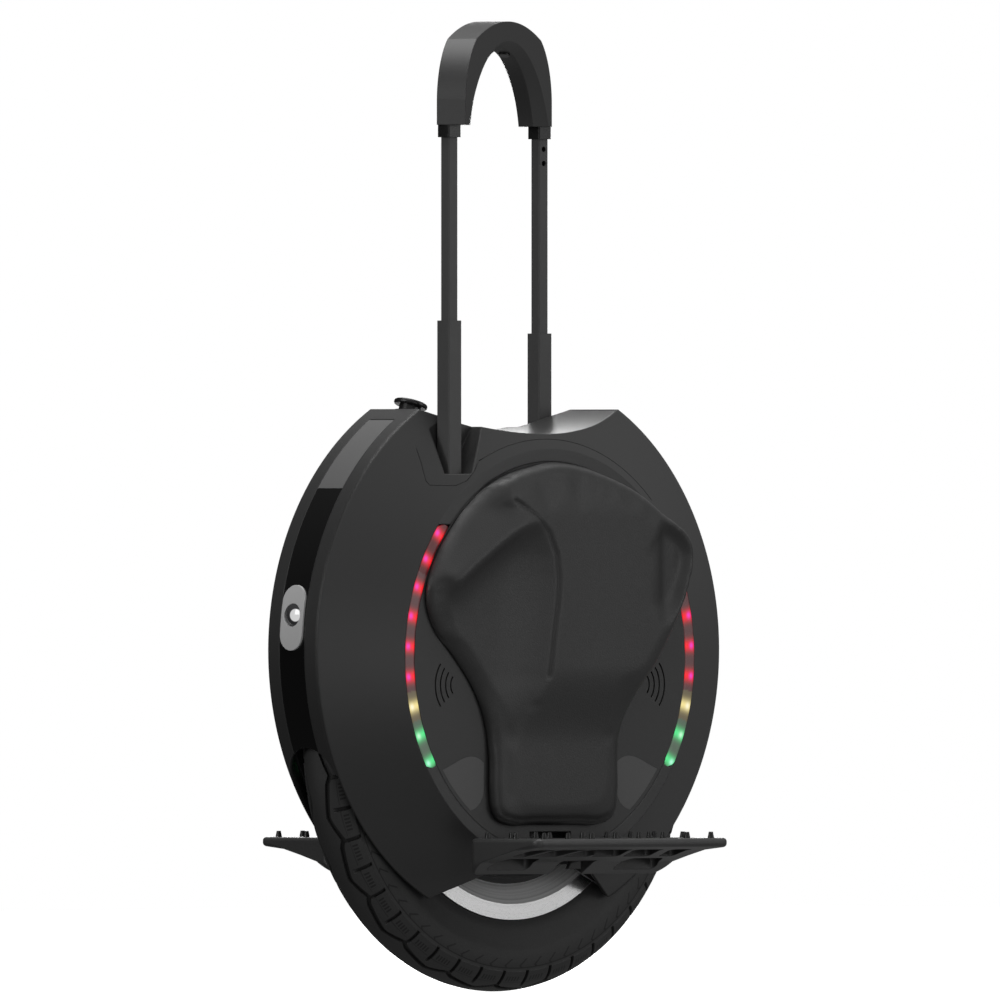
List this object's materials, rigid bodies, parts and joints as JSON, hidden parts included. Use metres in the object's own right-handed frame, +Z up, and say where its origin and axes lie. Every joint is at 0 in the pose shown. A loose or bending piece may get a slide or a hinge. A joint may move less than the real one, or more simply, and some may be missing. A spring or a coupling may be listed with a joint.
{
  "type": "electric unicycle",
  "caption": "Self-balancing electric unicycle: hub-motor wheel in a round shell with leg pads, folding studded pedals, light strips, headlight and a telescopic trolley handle.",
  "frame": {"origin": "on the ground under the wheel's centre", "axes": "+Z up; the wheel turns about Y; the headlight looks along -X; -Y is the rider's left"},
  "size_m": [0.5092, 0.372, 0.8847],
  "materials": {
    "shell_plastic": "satin",
    "panel_plastic": "satin",
    "gloss_black": "gloss",
    "window_grey": "satin",
    "insert_grey": "satin",
    "bezel_grey": "satin",
    "lamp_clear": "polished",
    "lamp_red": "polished",
    "light_guide": "translucent",
    "pad_leather": "grained",
    "frame_alloy": "cast",
    "steel": "turned",
    "black_steel": "satin",
    "copper_winding": "lacquered",
    "magnet": "plated",
    "lamination": "stacked",
    "battery_wrap": "shrink wrap",
    "board_green": "solder mask",
    "speaker_black": "matte",
    "sleeve_plastic": "matte",
    "tyre_rubber": "matte",
    "tube_rubber": "matte",
    "rim_alloy": "machined",
    "cover_black": "satin",
    "pedal_alloy": "powder coat",
    "stud_steel": "turned",
    "tube_alloy": "anodised",
    "grip_plastic": "soft matte",
    "button_black": "satin"
  },
  "bodies": {
    "chassis": {"main_frame": "frame_alloy", "left_shell": "shell_plastic", "right_shell": "shell_plastic", "saddle_cover": "shell_plastic", "front_cover": "shell_plastic", "rear_cover": "shell_plastic", "front_strip": "gloss_black", "rear_strip": "gloss_black", "front_window": "window_grey", "rear_window": "window_grey", "headlight_bezel": "bezel_grey", "headlight_lens": "lamp_clear", "tail_light_bezel": "bezel_grey", "tail_light_lens": "lamp_red", "charge_socket": "button_black", "left_side_panel": "panel_plastic", "right_side_panel": "panel_plastic", "left_front_light": "light_guide", "left_rear_light": "light_guide", "right_rear_light": "light_guide", "right_front_light": "light_guide", "panel_inserts": "insert_grey", "loudspeakers": "speaker_black", "left_pad": "pad_leather", "right_pad": "pad_leather", "left_battery": "battery_wrap", "right_battery": "battery_wrap", "control_board": "board_green", "left_sleeve": "sleeve_plastic", "right_sleeve": "sleeve_plastic", "axle": "steel", "axle_nuts": "steel", "stator_core": "lamination", "stator_windings": "copper_winding", "left_hanger": "black_steel", "right_hanger": "black_steel", "hanger_bolts": "steel", "pedal_pins": "steel", "power_switch": "button_black"},
    "wheel": {"tyre": "tyre_rubber", "inner_tube": "tube_rubber", "tyre_valve": "black_steel", "rim": "rim_alloy", "rotor_magnets": "magnet", "left_motor_cover": "cover_black", "right_motor_cover": "cover_black", "motor_cover_screws": "stud_steel", "wheel_bearings": "steel"},
    "left_foot": {"left_pedal": "pedal_alloy", "left_pedal_studs": "stud_steel"},
    "right_foot": {"right_pedal": "pedal_alloy", "right_pedal_studs": "stud_steel"},
    "trolley_lower": {"left_lower_tube": "tube_alloy", "right_lower_tube": "tube_alloy"},
    "trolley_upper": {"left_upper_tube": "tube_alloy", "right_upper_tube": "tube_alloy", "tube_collars": "button_black", "grip": "grip_plastic"},
    "release": {"release_button": "button_black"},
    "power": {"power_button": "button_black"}
  },
  "joints": [
    {"name": "wheel_spin", "type": "hinge", "parent": "chassis", "child": "wheel", "pos_m": [0, 0, 0.2285], "axis": [0, 1, 0], "continuous": true},
    {"name": "left_pedal_fold", "type": "hinge", "parent": "chassis", "child": "left_foot", "pos_m": [0, -0.104, 0.13], "axis": [-1, 0, 0], "range_deg": [0, 85]},
    {"name": "right_pedal_fold", "type": "hinge", "parent": "chassis", "child": "right_foot", "pos_m": [0, 0.104, 0.13], "axis": [1, 0, 0], "range_deg": [0, 85]},
    {"name": "trolley_lower_slide", "type": "slide", "parent": "chassis", "child": "trolley_lower", "axis": [0, 0, -1], "range_m": [0, 0.105]},
    {"name": "trolley_upper_slide", "type": "slide", "parent": "trolley_lower", "child": "trolley_upper", "axis": [0, 0, -1], "range_m": [0, 0.15]},
    {"name": "release_button_press", "type": "slide", "parent": "trolley_upper", "child": "release", "axis": [0.2605, 0.142, 0.955], "range_m": [0, 0.0015], "stiffness_N_per_m": 400, "springref_m": -0.002},
    {"name": "power_button_press", "type": "slide", "parent": "chassis", "child": "power", "axis": [-0.3013, 0, -0.9535], "range_m": [0, 0.002], "stiffness_N_per_m": 600, "springref_m": -0.002}
  ]
}
